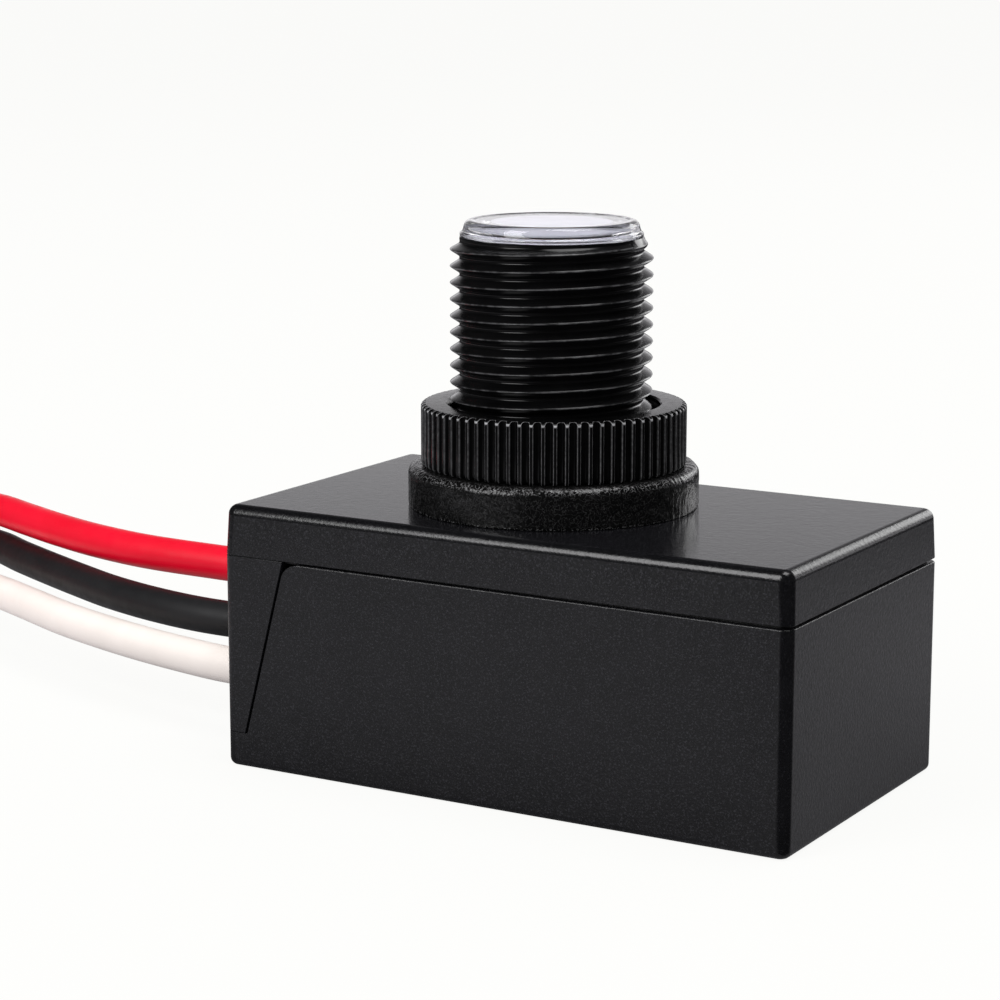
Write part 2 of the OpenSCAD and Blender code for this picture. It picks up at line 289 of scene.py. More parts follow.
def spread(nt, fac, lo, hi, a=0.35, b=0.65):
    m = nt.nodes.new("ShaderNodeMapRange")
    m.inputs["From Min"].default_value = a
    m.inputs["From Max"].default_value = b
    m.inputs["To Min"].default_value = lo
    m.inputs["To Max"].default_value = hi
    nt.links.new(fac, m.inputs["Value"])
    return m.outputs["Result"]


def bump(nt, height, strength, distance, normal=None):
    b = nt.nodes.new("ShaderNodeBump")
    b.inputs["Strength"].default_value = strength
    b.inputs["Distance"].default_value = distance
    nt.links.new(height, b.inputs["Height"])
    if normal is not None:
        nt.links.new(normal, b.inputs["Normal"])
    return b.outputs["Normal"]


def finish_mat(name, dark, light, rough, grains, spec=0.5, patch=90.0, ior=1.5, stretch=None, metallic=0.0, coat=0.0, sheen=0.0, flecks_and_highlight_breakup=None):
    """Colour drift between two tones, patchy roughness, layers of bump grain (scale, detail, strength, distance) and pale flecks (scale, from, to, colour)."""
    mat, nt, b = new_mat(name)
    vec = coords(nt, stretch)
    drift = noise_tex(nt, vec, patch, 4.0, 0.6)
    ground = ramp(nt, drift, [(0.35, dark), (0.65, light)])
    if flecks_and_highlight_breakup is not None:
        mix = nt.nodes.new("ShaderNodeMix")
        mix.data_type = "RGBA"
        nt.links.new(spread(nt, noise_tex(nt, vec, flecks_and_highlight_breakup[0], 2.0, 0.5), 0.0, 1.0, flecks_and_highlight_breakup[1], flecks_and_highlight_breakup[2]), mix.inputs["Factor"])
        nt.links.new(ground, mix.inputs[6])
        mix.inputs[7].default_value = (*flecks_and_highlight_breakup[3], 1.0)
        ground = mix.outputs[2]
    nt.links.new(ground, b.inputs["Base Color"])
    fine = noise_tex(nt, vec, patch * 7.0, 3.0, 0.6)
    nt.links.new(spread(nt, fine, rough[0], rough[1]), b.inputs["Roughness"])
    b.inputs["Specular IOR Level"].default_value = spec
    b.inputs["IOR"].default_value = ior
    b.inputs["Metallic"].default_value = metallic
    b.inputs["Coat Weight"].default_value = coat
    b.inputs["Coat Roughness"].default_value = 0.2
    b.inputs["Sheen Weight"].default_value = sheen
    normal = None
    for scale, detail, strength, distance in grains:
        normal = bump(nt, noise_tex(nt, vec, scale, detail), strength, distance, normal)
    if normal is not None:
        nt.links.new(normal, b.inputs["Normal"])
    return mat


M_CASE = finish_mat("case_black", (0.003, 0.003, 0.0038), (0.0046, 0.0045, 0.0056), (0.3, 0.4),
                    [(2600, 3.0, 1.0, 0.00005), (7000, 2.0, 0.7, 0.00002)], spec=0.5, patch=350, flecks_and_highlight_breakup=(5200, 0.53, 0.7, (0.021, 0.021, 0.025)))
M_TOP = finish_mat("case_top", (0.0035, 0.0034, 0.0042), (0.005, 0.0049, 0.006), (0.12, 0.17),
                   [(1100, 3.0, 0.3, 0.00003), (3000, 3.0, 0.4, 0.000022), (7000, 2.0, 0.22, 0.00001)], spec=0.5, patch=350, flecks_and_highlight_breakup=(5200, 0.55, 0.72, (0.024, 0.024, 0.028)))
M_EDGE = finish_mat("case_edge", (0.0026, 0.0026, 0.0032), (0.004, 0.004, 0.0048), (0.18, 0.26),
                    [(2300, 3.0, 0.5, 0.00004), (7000, 2.0, 0.4, 0.000012)], spec=0.5, patch=350, flecks_and_highlight_breakup=(6200, 0.57, 0.74, (0.012, 0.012, 0.014)))
M_RUBBER = finish_mat("rubber_black", (0.0045, 0.0045, 0.0045), (0.008, 0.008, 0.008), (0.3, 0.44),
                      [(1300, 4.0, 0.55, 0.0001), (3600, 3.0, 0.5, 0.00004)], spec=0.45, patch=240)

def painted_highlight_mat(name, dark, light, painted_highlight_tone, rough, grains, spec=0.5, patch=240.0, flecks_and_highlight_breakup=(2600, 0.35, 0.65, 0.5), highlights_in_wrinkle_lines=False):
    """Black moulding with painted highlights: its colour turns paler where a point attribute says so, broken up by
    noise.
    """
    mat, nt, b = new_mat(name)
    vec = coords(nt)
    ground = ramp(nt, noise_tex(nt, vec, patch, 4.0, 0.6), [(0.35, dark), (0.65, light)])
    # Painted highlight mask: the point attribute times a noise pattern that breaks it up or draws it as thin wrinkle
    # lines.
    at = nt.nodes.new("ShaderNodeAttribute")
    at.attribute_name = "painted_highlight"
    painted_highlight_mask = nt.nodes.new("ShaderNodeMath")
    painted_highlight_mask.operation = "MULTIPLY"
    nt.links.new(at.outputs["Fac"], painted_highlight_mask.inputs[0])
    highlight_breakup = noise_tex(nt, vec, flecks_and_highlight_breakup[0], 2.0)
    if highlights_in_wrinkle_lines:
        off = nt.nodes.new("ShaderNodeMath")
        off.operation = "SUBTRACT"
        nt.links.new(highlight_breakup, off.inputs[0])
        off.inputs[1].default_value = 0.5
        fold = nt.nodes.new("ShaderNodeMath")
        fold.operation = "ABSOLUTE"
        nt.links.new(off.outputs[0], fold.inputs[0])
        nt.links.new(spread(nt, fold.outputs[0], 1.0, 0.0, flecks_and_highlight_breakup[1], flecks_and_highlight_breakup[2]), painted_highlight_mask.inputs[1])
    else:
        nt.links.new(spread(nt, highlight_breakup, flecks_and_highlight_breakup[3], 1.0, flecks_and_highlight_breakup[1], flecks_and_highlight_breakup[2]), painted_highlight_mask.inputs[1])
    mix = nt.nodes.new("ShaderNodeMix")
    mix.data_type = "RGBA"
    nt.links.new(painted_highlight_mask.outputs[0], mix.inputs["Factor"])
    nt.links.new(ground, mix.inputs[6])
    mix.inputs[7].default_value = (*painted_highlight_tone, 1.0)
    nt.links.new(mix.outputs[2], b.inputs["Base Color"])
    nt.links.new(spread(nt, noise_tex(nt, vec, 1600, 3.0), rough[0], rough[1]), b.inputs["Roughness"])
    b.inputs["Specular IOR Level"].default_value = spec
    normal = None
    for scale, detail, strength, distance in grains:
        normal = bump(nt, noise_tex(nt, vec, scale, detail), strength, distance, normal)
    nt.links.new(normal, b.inputs["Normal"])
    return mat


# Black mouldings with painted highlights: a point attribute lightens their colour on edges, crests and lips.
M_NUT = painted_highlight_mat("nut_black", (0.0012, 0.0012, 0.0013), (0.0024, 0.0024, 0.0026), (0.42, 0.42, 0.43), (0.14, 0.24), [(1800, 2.0, 0.12, 0.00002)], spec=0.22)
M_THREAD = painted_highlight_mat("thread_black", (0.0018, 0.0018, 0.002), (0.0032, 0.0032, 0.0034), (0.085, 0.085, 0.088), (0.14, 0.22), [(1500, 3.0, 0.2, 0.00003)], spec=0.28, flecks_and_highlight_breakup=(900, 0.4, 0.62, 0.2))
M_GASKET = painted_highlight_mat("gasket_rubber", (0.0018, 0.0018, 0.0018), (0.0036, 0.0036, 0.0036), (0.22, 0.22, 0.223), (0.17, 0.27),
                      [(800, 3.0, 0.7, 0.00016), (2000, 2.0, 0.8, 0.00009)], spec=0.36, patch=300, flecks_and_highlight_breakup=(2300, 0.004, 0.03, 0.0), highlights_in_wrinkle_lines=True)
M_RED = finish_mat("insulation_red", (0.7, 0.0012, 0.017), (0.77, 0.0022, 0.023), (0.3, 0.4),
                   [(700, 2.0, 0.06, 0.00004), (5200, 2.0, 0.06, 0.00001)], spec=0.25, patch=110)
M_BLACK = finish_mat("insulation_black", (0.007, 0.007, 0.008), (0.01, 0.01, 0.0112), (0.46, 0.56),
                     [(700, 2.0, 0.06, 0.00004), (5200, 2.0, 0.06, 0.00001)], spec=0.34, patch=110)
M_WHITE = finish_mat("insulation_white", (0.78, 0.715, 0.668), (0.83, 0.765, 0.72), (0.38, 0.5),
                     [(700, 2.0, 0.05, 0.00004), (5200, 2.0, 0.05, 0.00001)], spec=0.3, patch=110)
M_COPPER = finish_mat("bare_copper", (0.75, 0.33, 0.17), (0.93, 0.5, 0.3), (0.22, 0.38),
                      [(2200, 2.0, 0.12, 0.00002)], metallic=1.0, patch=400)
M_STEEL = finish_mat("plated_steel", (0.5, 0.5, 0.5), (0.7, 0.7, 0.69), (0.24, 0.4),
                     [(1600, 3.0, 0.12, 0.00002)], metallic=1.0, patch=300)
M_TIN = finish_mat("tinned_wire", (0.62, 0.62, 0.63), (0.8, 0.8, 0.8), (0.22, 0.36),
                   [(2000, 2.0, 0.08, 0.00001)], metallic=1.0, patch=350)


def lens_material():
    mat, nt, b = new_mat("lens_clear")
    vec = coords(nt)
    b.inputs["Base Color"].default_value = (0.97, 0.97, 1.0, 1.0)
    b.inputs["Transmission Weight"].default_value = 1.0
    b.inputs["IOR"].default_value = 1.49
    fine = noise_tex(nt, vec, 900, 2.0)
    nt.links.new(spread(nt, fine, 0.0, 0.04), b.inputs["Roughness"])
    nt.links.new(bump(nt, noise_tex(nt, vec, 160, 2.0), 0.05, 0.0001), b.inputs["Normal"])
    return mat


def frost_material():
    """Matt underside of the cap."""
    mat, nt, b = new_mat("lens_frosted")
    vec = coords(nt)
    nt.links.new(ramp(nt, noise_tex(nt, vec, 260, 3.0), [(0.35, (0.6, 0.6, 0.68)), (0.65, (0.68, 0.68, 0.76))]), b.inputs["Base Color"])
    nt.links.new(spread(nt, noise_tex(nt, vec, 1800, 2.0), 0.5, 0.7), b.inputs["Roughness"])
    nt.links.new(bump(nt, noise_tex(nt, vec, 2600, 2.0), 0.1, 0.00002), b.inputs["Normal"])
    return mat


M_FROST = frost_material()
M_LENS = lens_material()


def board_material():
    mat, nt, b = new_mat("board_laminate")
    vec = coords(nt)
    weave = nt.nodes.new("ShaderNodeTexWave")
    weave.inputs["Scale"].default_value = 900
    weave.inputs["Distortion"].default_value = 1.2
    nt.links.new(vec, weave.inputs["Vector"])
    nt.links.new(ramp(nt, noise_tex(nt, vec, 260, 5.0), [(0.3, (0.23, 0.14, 0.05)), (0.7, (0.33, 0.22, 0.09))]), b.inputs["Base Color"])
    nt.links.new(spread(nt, weave.outputs["Fac"], 0.42, 0.6, 0.0, 1.0), b.inputs["Roughness"])
    nt.links.new(bump(nt, weave.outputs["Fac"], 0.15, 0.00002), b.inputs["Normal"])
    return mat


def banded_material(name, dark, light, bands, spacing):
    """Painted rings round an axial body."""
    mat, nt, b = new_mat(name)
    vec = coords(nt)
    wave = nt.nodes.new("ShaderNodeTexWave")
    wave.wave_type = "BANDS"
    wave.bands_direction = "Y"
    wave.inputs["Scale"].default_value = spacing
    nt.links.new(vec, wave.inputs["Vector"])
    nt.links.new(ramp(nt, wave.outputs["Fac"], [(0.0, dark), (0.55, light), (0.8, bands)]), b.inputs["Base Color"])
    nt.links.new(spread(nt, noise_tex(nt, vec, 900, 3.0), 0.3, 0.48), b.inputs["Roughness"])
    nt.links.new(bump(nt, noise_tex(nt, vec, 2600, 2.0), 0.1, 0.00002), b.inputs["Normal"])
    return mat


# ---------------------------------------------------------------- leads
ROUTES = {
    "red": [[-22, 7, 15.3], [-33, 7, 15.3], [-43, 7, 15.3], [-53, 7.1, 15.3], [-63, 7.6, 15.3], [-72, 9.5, 15.3],
            [-80, 12.2, 15.3], [-88, 15.5, 15.3], [-95, 18.4, 15.3], [-104, 21.8, 14.6], [-113, 19, 12.8], [-120, 13, 10.4],
            [-124.2, 3.5, 8], [-125, -5.5, 6.3], [-122, -14, 5.9], [-115.5, -21, 5.9], [-109, -24, 5.9], [-104, -25, 5.9]],
    "black": [[-22, 0, 10.7], [-33, 0, 10.7], [-42, 0, 10.7], [-50, 0.2, 10.7], [-58, 1.7, 10.7], [-66, 4.2, 10.7],
              [-73.5, 7.4, 10.7], [-80.5, 10.6, 10.7], [-88, 14.2, 10.7], [-95, 17.8, 10.7], [-104, 21.8, 9.9], [-113.5, 20, 8],
              [-121.2, 14, 5.7], [-126.2, 4, 3.6], [-127.2, -5.5, 2.4], [-124, -15, 2.1], [-116.6, -22.8, 2.1], [-109.5, -26.1, 2.1], [-104, -27, 2.1]],
    "white": [[-22, -7, 7.5], [-33, -7, 7.5], [-41, -7, 7.5], [-48, -5.8, 7.5], [-55.5, -4, 7.5], [-63, -1.7, 7.5],
              [-71, 1.2, 7.5], [-79, 4.8, 7.5], [-87, 8.5, 7.4], [-95.5, 12.2, 7], [-104, 14.8, 6.2], [-112, 13.7, 4.8],
              [-118.2, 9.2, 3.4], [-121.8, 2.7, 2.4], [-122.5, -5, 2.1], [-119.8, -12.8, 2.1], [-114.2, -18.8, 2.1], [-108.4, -21.6, 2.1], [-104, -22.4, 2.1]],
}


def lead(colour, mat):
    path = spline(ROUTES[colour], 9)
    path = [np.array((p[0], p[1], max(p[2], LEAD_R + 0.005))) for p in path]
    verts, rows, faces = [], [], []
    tube_rows(path, [LEAD_R] * len(path), 32, verts, rows)
    end, (t, a, b) = path[-1], frames(path)[-1]
    # Cut end of the insulation: a rounded lip, a flat face and the hole round the strands.
    for off, r in ((0.06, LEAD_R - 0.05), (0.1, LEAD_R - 0.16), (0.1, CORE_R + 0.14), (0.04, CORE_R + 0.06), (-0.6, CORE_R + 0.05)):
        rows.append(list(range(len(verts), len(verts) + 32)))
        for k in range(32):
            q = 2 * math.pi * (k + 0.5) / 32
            verts.append(end + off * t + r * (math.cos(q) * a + math.sin(q) * b))
    skin(rows, faces)
    ob = smooth(make("lead_%s_insulation" % colour, verts, faces), 40)
    ob.data.materials.append(mat)
    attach(ob, "housing")
    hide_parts("lead_%s" % colour)
    # Seven twisted strands.
    sv, sf = [], []
    for s in range(7):
        rr = 0.0 if s == 0 else 0.6
        line = []
        for i in range(31):
            u = -0.5 + 10.5 * i / 30
            q = 2 * math.pi * (s / 6.0 + u / 13.0)
            flare = 1.0 + 0.04 * step(u, 8.0, 10.0) * math.sin(3.1 * s)
            line.append(end + u * t + rr * flare * (math.cos(q) * a + math.sin(q) * b))
        srows = []
        tube_rows(line, [0.285] * 29 + [0.27, 0.2], 10, sv, srows)
        skin(srows, sf)
    tip = smooth(make("lead_%s_strands" % colour, sv, sf), 50)
    tip.data.materials.append(M_COPPER)
    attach(tip, "housing")
    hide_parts("lead_tips")
    return ob


lead("red", M_RED)
lead("black", M_BLACK)
lead("white", M_WHITE)

# ---------------------------------------------------------------- cover and threaded nipple
TPOS = [0.0, 0.04, 0.08, 0.125, 0.18, 0.245, 0.31, 0.365, 0.415, 0.46, 0.5, 0.54, 0.585, 0.635, 0.69, 0.755, 0.82, 0.875, 0.92, 0.96]


def thread_table(crest, root, flat_crest, flat_root, soft):
    """Radius against phase for one pitch: a trapezoid softened at crest and root."""
    t = np.arange(0, 1, 1 / 720.0)
    d = np.minimum(t, 1 - t) * PITCH
    half = PITCH / 2
    r = crest - (crest - root) * np.clip((d - flat_crest / 2) / (half - flat_crest / 2 - flat_root / 2), 0, 1)
    w = np.exp(-0.5 * (np.minimum(t, 1 - t) * PITCH / soft) ** 2)
    w = w / w.sum()
    out = np.real(np.fft.ifft(np.fft.fft(r) * np.fft.fft(w)))
    return lambda q: float(np.interp((q % 1.0) * 720.0, np.arange(721), np.append(out, out[0])))


def helix_rod(name, centre, zs, turns, z_low, z_high, radius, fit, n=168):
    """Closed round bar with a right-hand helical surface. radius(phase, z) gives the surface, fit(z) squeezes the first and last turns between the end faces."""
    per = len(TPOS)
    rows = turns * per
    verts = []
    for i in range(rows + 1):
        for j in range(n):
            raw = zs + PITCH * (i // per + TPOS[i % per] + j / n)
            z = fit(raw)
            r = radius(TPOS[i % per], z)
            a = 2 * math.pi * j / n
            verts.append((centre[0] + r * math.cos(a), centre[1] + r * math.sin(a), z))
    at = lambda i, j: i * n + j
    faces = []
    for i in range(rows):
        for j in range(n - 1):
            faces.append([at(i, j), at(i, j + 1), at(i + 1, j + 1), at(i + 1, j)])
    for i in range(rows - per):
        faces.append([at(i, n - 1), at(i + per, 0), at(i + per + 1, 0), at(i + 1, n - 1)])
    lo0 = len(verts)
    for j in range(n):
        a = 2 * math.pi * j / n
        r = radius(0.5, z_low)
        verts.append((centre[0] + r * math.cos(a), centre[1] + r * math.sin(a), z_low))
    hi0 = len(verts)
    for j in range(n):
        a = 2 * math.pi * j / n
        r = radius(0.5, z_high)
        verts.append((centre[0] + r * math.cos(a), centre[1] + r * math.sin(a), z_high))
    for j in range(n - 1):
        faces.append([lo0 + j, lo0 + j + 1, at(0, j + 1), at(0, j)])
        faces.append([at(rows, j), at(rows, j + 1), hi0 + j + 1, hi0 + j])
    faces.append([lo0 + n - 1, lo0] + [at(i, 0) for i in range(per + 1)] + [at(0, n - 1)])
    faces.append([at(i, n - 1) for i in range(rows - per, rows + 1)][::-1][::-1] + [hi0 + n - 1, hi0, at(rows, 0)])
    faces[-1] = [at(rows, 0), hi0, hi0 + n - 1] + [at(i, n - 1) for i in range(rows, rows - per - 1, -1)]
    faces.append([lo0 + j for j in range(n - 1, -1, -1)])
    faces.append([hi0 + j for j in range(n)])
    return make(name, verts, faces)


outer_thread = thread_table(CREST + 0.05, ROOT, 0.1, 0.34, 0.055)


def nipple_radius(q, z):
    r = outer_thread(q)
    top = 1 - step(z, 55.55, 56.65)
    low = step(z, 32.3, 33.1)
    r = NECK + (r - NECK) * top
    return 10.2 + (r - 10.2) * low


def nipple_fit(z):
    if z > 56.4:
        return 56.4 + (z - 56.4) * 0.2
    if z < 32.2:
        return 32.2 + (z - 32.2) * 0.5
    return z


def cover():
    loops = []
    # Inside: roof, soft corner, walls down to the rim.
    for k in range(5):
        a = math.radians(90 - 90 * k / 4)
        ins = 0.8 * math.sin(a)
        loops.append(rrect(62 - 2 * ins, 33 - 2 * ins, 1.0 - 0.6 * math.sin(a), 26.3 - 0.8 + ins))
    loops.append(rrect(62, 33, 1.0, COVER_Z + 0.15))
    loops.append(rrect(62.3, 33.3, 1.05, COVER_Z))
    # Outside: rim edge, skirt with a little draft, rounded top edge.
    for k in range(4):
        a = math.radians(90 * k / 3)
        ins = 0.08 * (1 - math.sin(a))
        loops.append(rrect(BOX_L - 2 * ins, BOX_W - 2 * ins, CORNER - ins * 0.5, COVER_Z + 0.08 * (1 - math.cos(a))))
    # The rim stands a little higher towards the far right corner.
    for lp in loops[5:]:
        lp[:] = [(x, y, z + 0.06 * step(x, 0, 33) * step(y, -18.5, 18.5)) for x, y, z in lp]
    draft, fr = 0.16, 1.12
    for k in range(11):
        a = math.radians(90 * k / 10)
        ins = draft + fr * (1 - math.cos(a))
        loops.append(rrect(BOX_L - 2 * ins, BOX_W - 2 * ins, CORNER + 0.1 - fr * (1 - math.cos(a)), BOX_H - fr + fr * math.sin(a)))
    ob = loft("top_cover_shell", loops)
    boolean(ob, rod("hole", (NIP_X, 0), 7.3, 20, 32, 64), "DIFFERENCE")
    for p in POSTS:
        boolean(ob, rod("post", p, 3.4, COVER_Z + 0.05, 27.5), "UNION")
    for p in POSTS:
        boolean(ob, rod("pilot", p, 1.43, 20, 26.4, 32), "DIFFERENCE")
    zs = 54.15 + PITCH * 59.5 / 360 - 13 * PITCH
    nip = helix_rod("nipple", (NIP_X, 0), zs, 14, 27.4, NIP_TOP, nipple_radius, nipple_fit)
    bore = revolve("bore", [(0, 20), (6.9, 20), (6.9, 47.5), (7.7, 47.5), (7.7, 55.7), (8.3, 55.8), (8.4, 55.9), (8.4, 56.6), (8.6, 57.0), (8.6, 60), (0, 60)],
                   (NIP_X, 0), 96, closed=False)
    boolean(nip, bore, "DIFFERENCE")
    boolean(ob, nip, "UNION")
    smooth(ob, 38)
    weighted(ob)
    ob.data.materials.clear()
    for m in (M_CASE, M_TOP, M_THREAD, M_EDGE):
        ob.data.materials.append(m)
    # Painted highlights: a point attribute that lightens the colour along the thread crests.
    painted_highlight = ob.data.attributes.new("painted_highlight", "FLOAT", "POINT")
    values = []
    for v in ob.data.vertices:
        x, y, z = v.co.x * 1000 - NIP_X, v.co.y * 1000, v.co.z * 1000
        q = ((z - zs) / PITCH - math.atan2(y, x) / (2 * math.pi)) % 1.0
        crest = math.exp(-(min(q, 1 - q) / 0.035) ** 2) if math.hypot(x, y) > 10.0 and 33.0 < z < 56.4 else 0.0
        values.append(crest)
    painted_highlight.data.foreach_set("value", values)
    for f in ob.data.polygons:
        c = f.center * 1000
        if math.hypot(c.x - NIP_X, c.y) < 11.0 and c.z > BOX_H + 0.05:
            f.material_index = 2
        elif f.normal.z > 0.97 and c.z > BOX_H - 0.05:
            f.material_index = 1
        elif f.normal.z > 0.05 and c.z > BOX_H - 1.3 or abs(f.normal.x * f.normal.y) > 0.03 and abs(c.x) > 31.5:
            f.material_index = 3
        else:
            f.material_index = 0
    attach(ob, "housing")
    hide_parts("top_cover")
    return ob


cover()


# ---------------------------------------------------------------- base
def slant(z, g=0.0):
    return -BOX_L / 2 + PLUG_FOOT + g + PLUG_SLOPE * (z - PLUG_Z)


def base():
    loops = []
    fr = 0.8
    for k in range(7):
        a = math.radians(90 * k / 6)
        ins = fr * (1 - math.sin(a))
        loops.append(rrect(BOX_L - 2 * ins, BOX_W - 2 * ins, CORNER - ins, fr * (1 - math.cos(a))))
    er = 0.16
    for k in range(5):
        a = math.radians(90 * k / 4)
        ins = er * (1 - math.cos(a))
        loops.append(rrect(BOX_L - 2 * ins, BOX_W - 2 * ins, CORNER - ins, BASE_TOP - er + er * math.sin(a)))
    loops.append(rrect(62.3, 33.3, 1.05, BASE_TOP))
    # The rim is closer to the cover along the front.
    for lp in loops[7:]:
        lp[:] = [(x, y, z + 0.12 * step(-y, 0, 18.5) * (1 - step(x, 4, 33))) for x, y, z in lp]
    loops.append(rrect(62, 33, 1.0, BASE_TOP - 0.15))
    for k in range(5):
        a = math.radians(90 * k / 4)
        ins = 0.8 * (1 - math.cos(a))
        loops.append(rrect(62 - 2 * ins, 33 - 2 * ins, 1.0 - 0.75 * (1 - math.cos(a)), 2.8 - 0.8 * math.sin(a)))
    ob = loft("base_shell", loops)
    for p in POSTS:
        boolean(ob, rod("post", p, 3.4, 1.0, BASE_TOP - 0.05), "UNION")
    for p in ((-13, 0), (21.5, 13)):
        boolean(ob, rod("boss", p, 2.4, 1.0, 5.5), "UNION")
    for p in ((-13, 13), (21.5, -13)):
        boolean(ob, rod("rest", p, 1.8, 1.0, 5.5), "UNION")
    # Opening for the end piece, with a rounded corner where its flank meets the seam.
    rr = 2.0
    ang = math.radians(90) + math.atan(PLUG_SLOPE)
    tl = rr / math.tan(ang / 2)
    zt = BASE_TOP - tl * math.cos(math.atan(PLUG_SLOPE))
    cx, cz = slant(BASE_TOP, PLUG_GAP) + tl, BASE_TOP - rr
    a0 = 180 - math.degrees(math.atan(PLUG_SLOPE))
    outline = [(-40, PLUG_Z), (slant(PLUG_Z, PLUG_GAP), PLUG_Z)]
    outline += [(cx + rr * math.cos(math.radians(a0 + (90 - a0) * k / 10)), cz + rr * math.sin(math.radians(a0 + (90 - a0) * k / 10))) for k in range(11)]
    outline += [(cx, 26), (-40, 26)]
    boolean(ob, prism_y("mouth", outline, -25, 25), "DIFFERENCE")
    for p in POSTS:
        boolean(ob, revolve("screwhole", [(0, -2), (3.1, -2), (3.1, -0.0), (2.8, 0.3), (2.8, 2.4), (1.6, 2.4), (1.6, 26), (0, 26)], p, 48, closed=False), "DIFFERENCE")
    for p in ((-13, 0), (21.5, 13)):
        boolean(ob, rod("pilot", p, 1.05, 2.8, 9, 32), "DIFFERENCE")
    mod = ob.modifiers.new("edge", "BEVEL")
    mod.width = 0.00005
    mod.segments = 2
    mod.limit_method = "ANGLE"
    mod.angle_limit = math.radians(50)
    mod.use_clamp_overlap = False
    bpy.context.view_layer.update()
    bake(ob)
    smooth(ob, 38)
    weighted(ob)
    ob.data.materials.clear()
    ob.data.materials.append(M_CASE)
    ob.data.materials.append(M_EDGE)
    for f in ob.data.polygons:
        f.material_index = 1 if abs(f.normal.x * f.normal.y) > 0.03 and abs(f.center.x) > 0.0315 and abs(f.center.y) > 0.017 else 0
    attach(ob, "housing")
    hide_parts("base_housing")
    return ob


base()


# ---------------------------------------------------------------- end piece with the lead holes
def end_plug():
    top = COVER_Z - 0.05
    loops = [rrect(BOX_L - 0.16, BOX_W - 0.16, CORNER - 0.08, PLUG_Z), rrect(BOX_L, BOX_W, CORNER, PLUG_Z + 0.08),
             rrect(BOX_L, BOX_W, CORNER, top - 0.07), rrect(BOX_L - 0.14, BOX_W - 0.14, CORNER - 0.07, top)]
    ob = loft("end_plug_shell", loops)
    wedge = prism_y("wedge", [(-40, 0), (slant(0), 0), (slant(30), 30), (-40, 30)], -25, 25)
    boolean(ob, wedge, "INTERSECT")
    pocket = loft("pocket", [rrect(20, 33, 0.6, PLUG_Z + 1.2), rrect(20, 33, 0.6, 30)])
    pocket.data.transform(Matrix.Translation(((-BOX_L / 2 + 2.2 + 10) * 0.001, 0, 0)))
    boolean(ob, pocket, "DIFFERENCE")
    boolean(ob, loft("rebate", [rrect(BOX_L - 1, BOX_W - 1, 1, BASE_TOP), rrect(BOX_L - 1, BOX_W - 1, 1, 30)]), "DIFFERENCE")
    for y, z in EXITS.values():
        tool = revolve("leadhole", [(0, -3), (LEAD_R + 0.5, -3), (LEAD_R + 0.5, 0.0), (LEAD_R + 0.1, 0.4), (LEAD_R + 0.1, 6), (0, 6)], (0, 0), 48, closed=False)
        rot = Matrix.Rotation(math.radians(90), 4, "Y")
        tool.data.transform(rot)
        tool.data.transform(Matrix.Translation((-BOX_L / 2 * 0.001, y * 0.001, z * 0.001)))
        boolean(ob, tool, "DIFFERENCE")
    mod = ob.modifiers.new("edge", "BEVEL")
    mod.width = 0.00005
    mod.segments = 2
    mod.limit_method = "ANGLE"
    mod.angle_limit = math.radians(50)
    mod.use_clamp_overlap = False
    bpy.context.view_layer.update()
    bake(ob)
    smooth(ob, 38)
    weighted(ob)
    ob.data.materials.clear()
    ob.data.materials.append(M_CASE)
    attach(ob, "housing")
    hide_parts("end_plug")
    return ob


end_plug()


# ---------------------------------------------------------------- gasket, nut, lens
def gasket():
    prof = [(10.65, 0.15), (10.8, 0.0), (13.0, 0.0), (GASKET_R - 0.34, 0.0), (GASKET_R - 0.14, 0.05), (GASKET_R - 0.04, 0.16), (GASKET_R, 0.32)]
    prof += [(GASKET_R, 0.4 + 2.85 * k / 16) for k in range(17)]
    prof += arc((GASKET_R - 1.0, GASKET_H - 1.0), 1.0, 4, 90, 14)
    prof += [(14.2, GASKET_H), (13.2, GASKET_H), (12.0, GASKET_H), (10.8, GASKET_H), (10.65, GASKET_H - 0.15)]
    prof += [(10.65, 2.0)]
    prof = [(r, z + GASKET_Z) for r, z in prof]

    def warp(r, z, a):
        """Hand-cut look: slow waves, short creases in the outer skin and a crinkled upper edge."""
        if r < 14.0 or z < GASKET_Z + 0.1:
            return r, z
        p = Vector((math.cos(a) * 15.4, math.sin(a) * 15.4, z))
        k = noise.noise(p * 0.22) * 0.04 + noise.fractal(p * 1.1, 0.8, 2.2, 4) * 0.035
        k = min(k, 0.05) - 0.05
        crimp = step(z, GASKET_Z + 2.9, GASKET_Z + 3.7) * noise.noise(Vector((p.x * 2.6, p.y * 2.6, z * 0.9))) * 0.022
        k += min(crimp, 0.03) - 0.01 * step(z, GASKET_Z + 2.9, GASKET_Z + 3.7)
        return r + k, z + (k * 0.7 if z > GASKET_Z + 3.0 else 0.0)

    ob = revolve("mounting_gasket_ring", prof, RING, 720, warp=warp)
    smooth(ob, 60)
    # Painted highlights: pale wrinkle lines on the wall, a bright band along the top edge and a thin bright line at the
    # bottom edge.
    painted_highlight = ob.data.attributes.new("painted_highlight", "FLOAT", "POINT")
    values = []
    for v in ob.data.vertices:
        h = v.co.z * 1000 - GASKET_Z
        r = math.hypot(v.co.x * 1000 - RING[0], v.co.y * 1000 - RING[1])
        w = 0.085 if r > 14.9 else 0.04
        w = max(w, 0.8 * math.exp(-((h - 3.98) / 0.3) ** 2) if r > 14.5 else 0.0)
        w = max(w, 0.9 * math.exp(-((h - 0.12) / 0.09) ** 2) if r > 15.0 else 0.0)
        values.append(w)
    painted_highlight.data.foreach_set("value", values)
    ob.data.materials.append(M_GASKET)
    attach(ob, "housing")
    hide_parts("mounting_gasket")
    return ob


gasket()


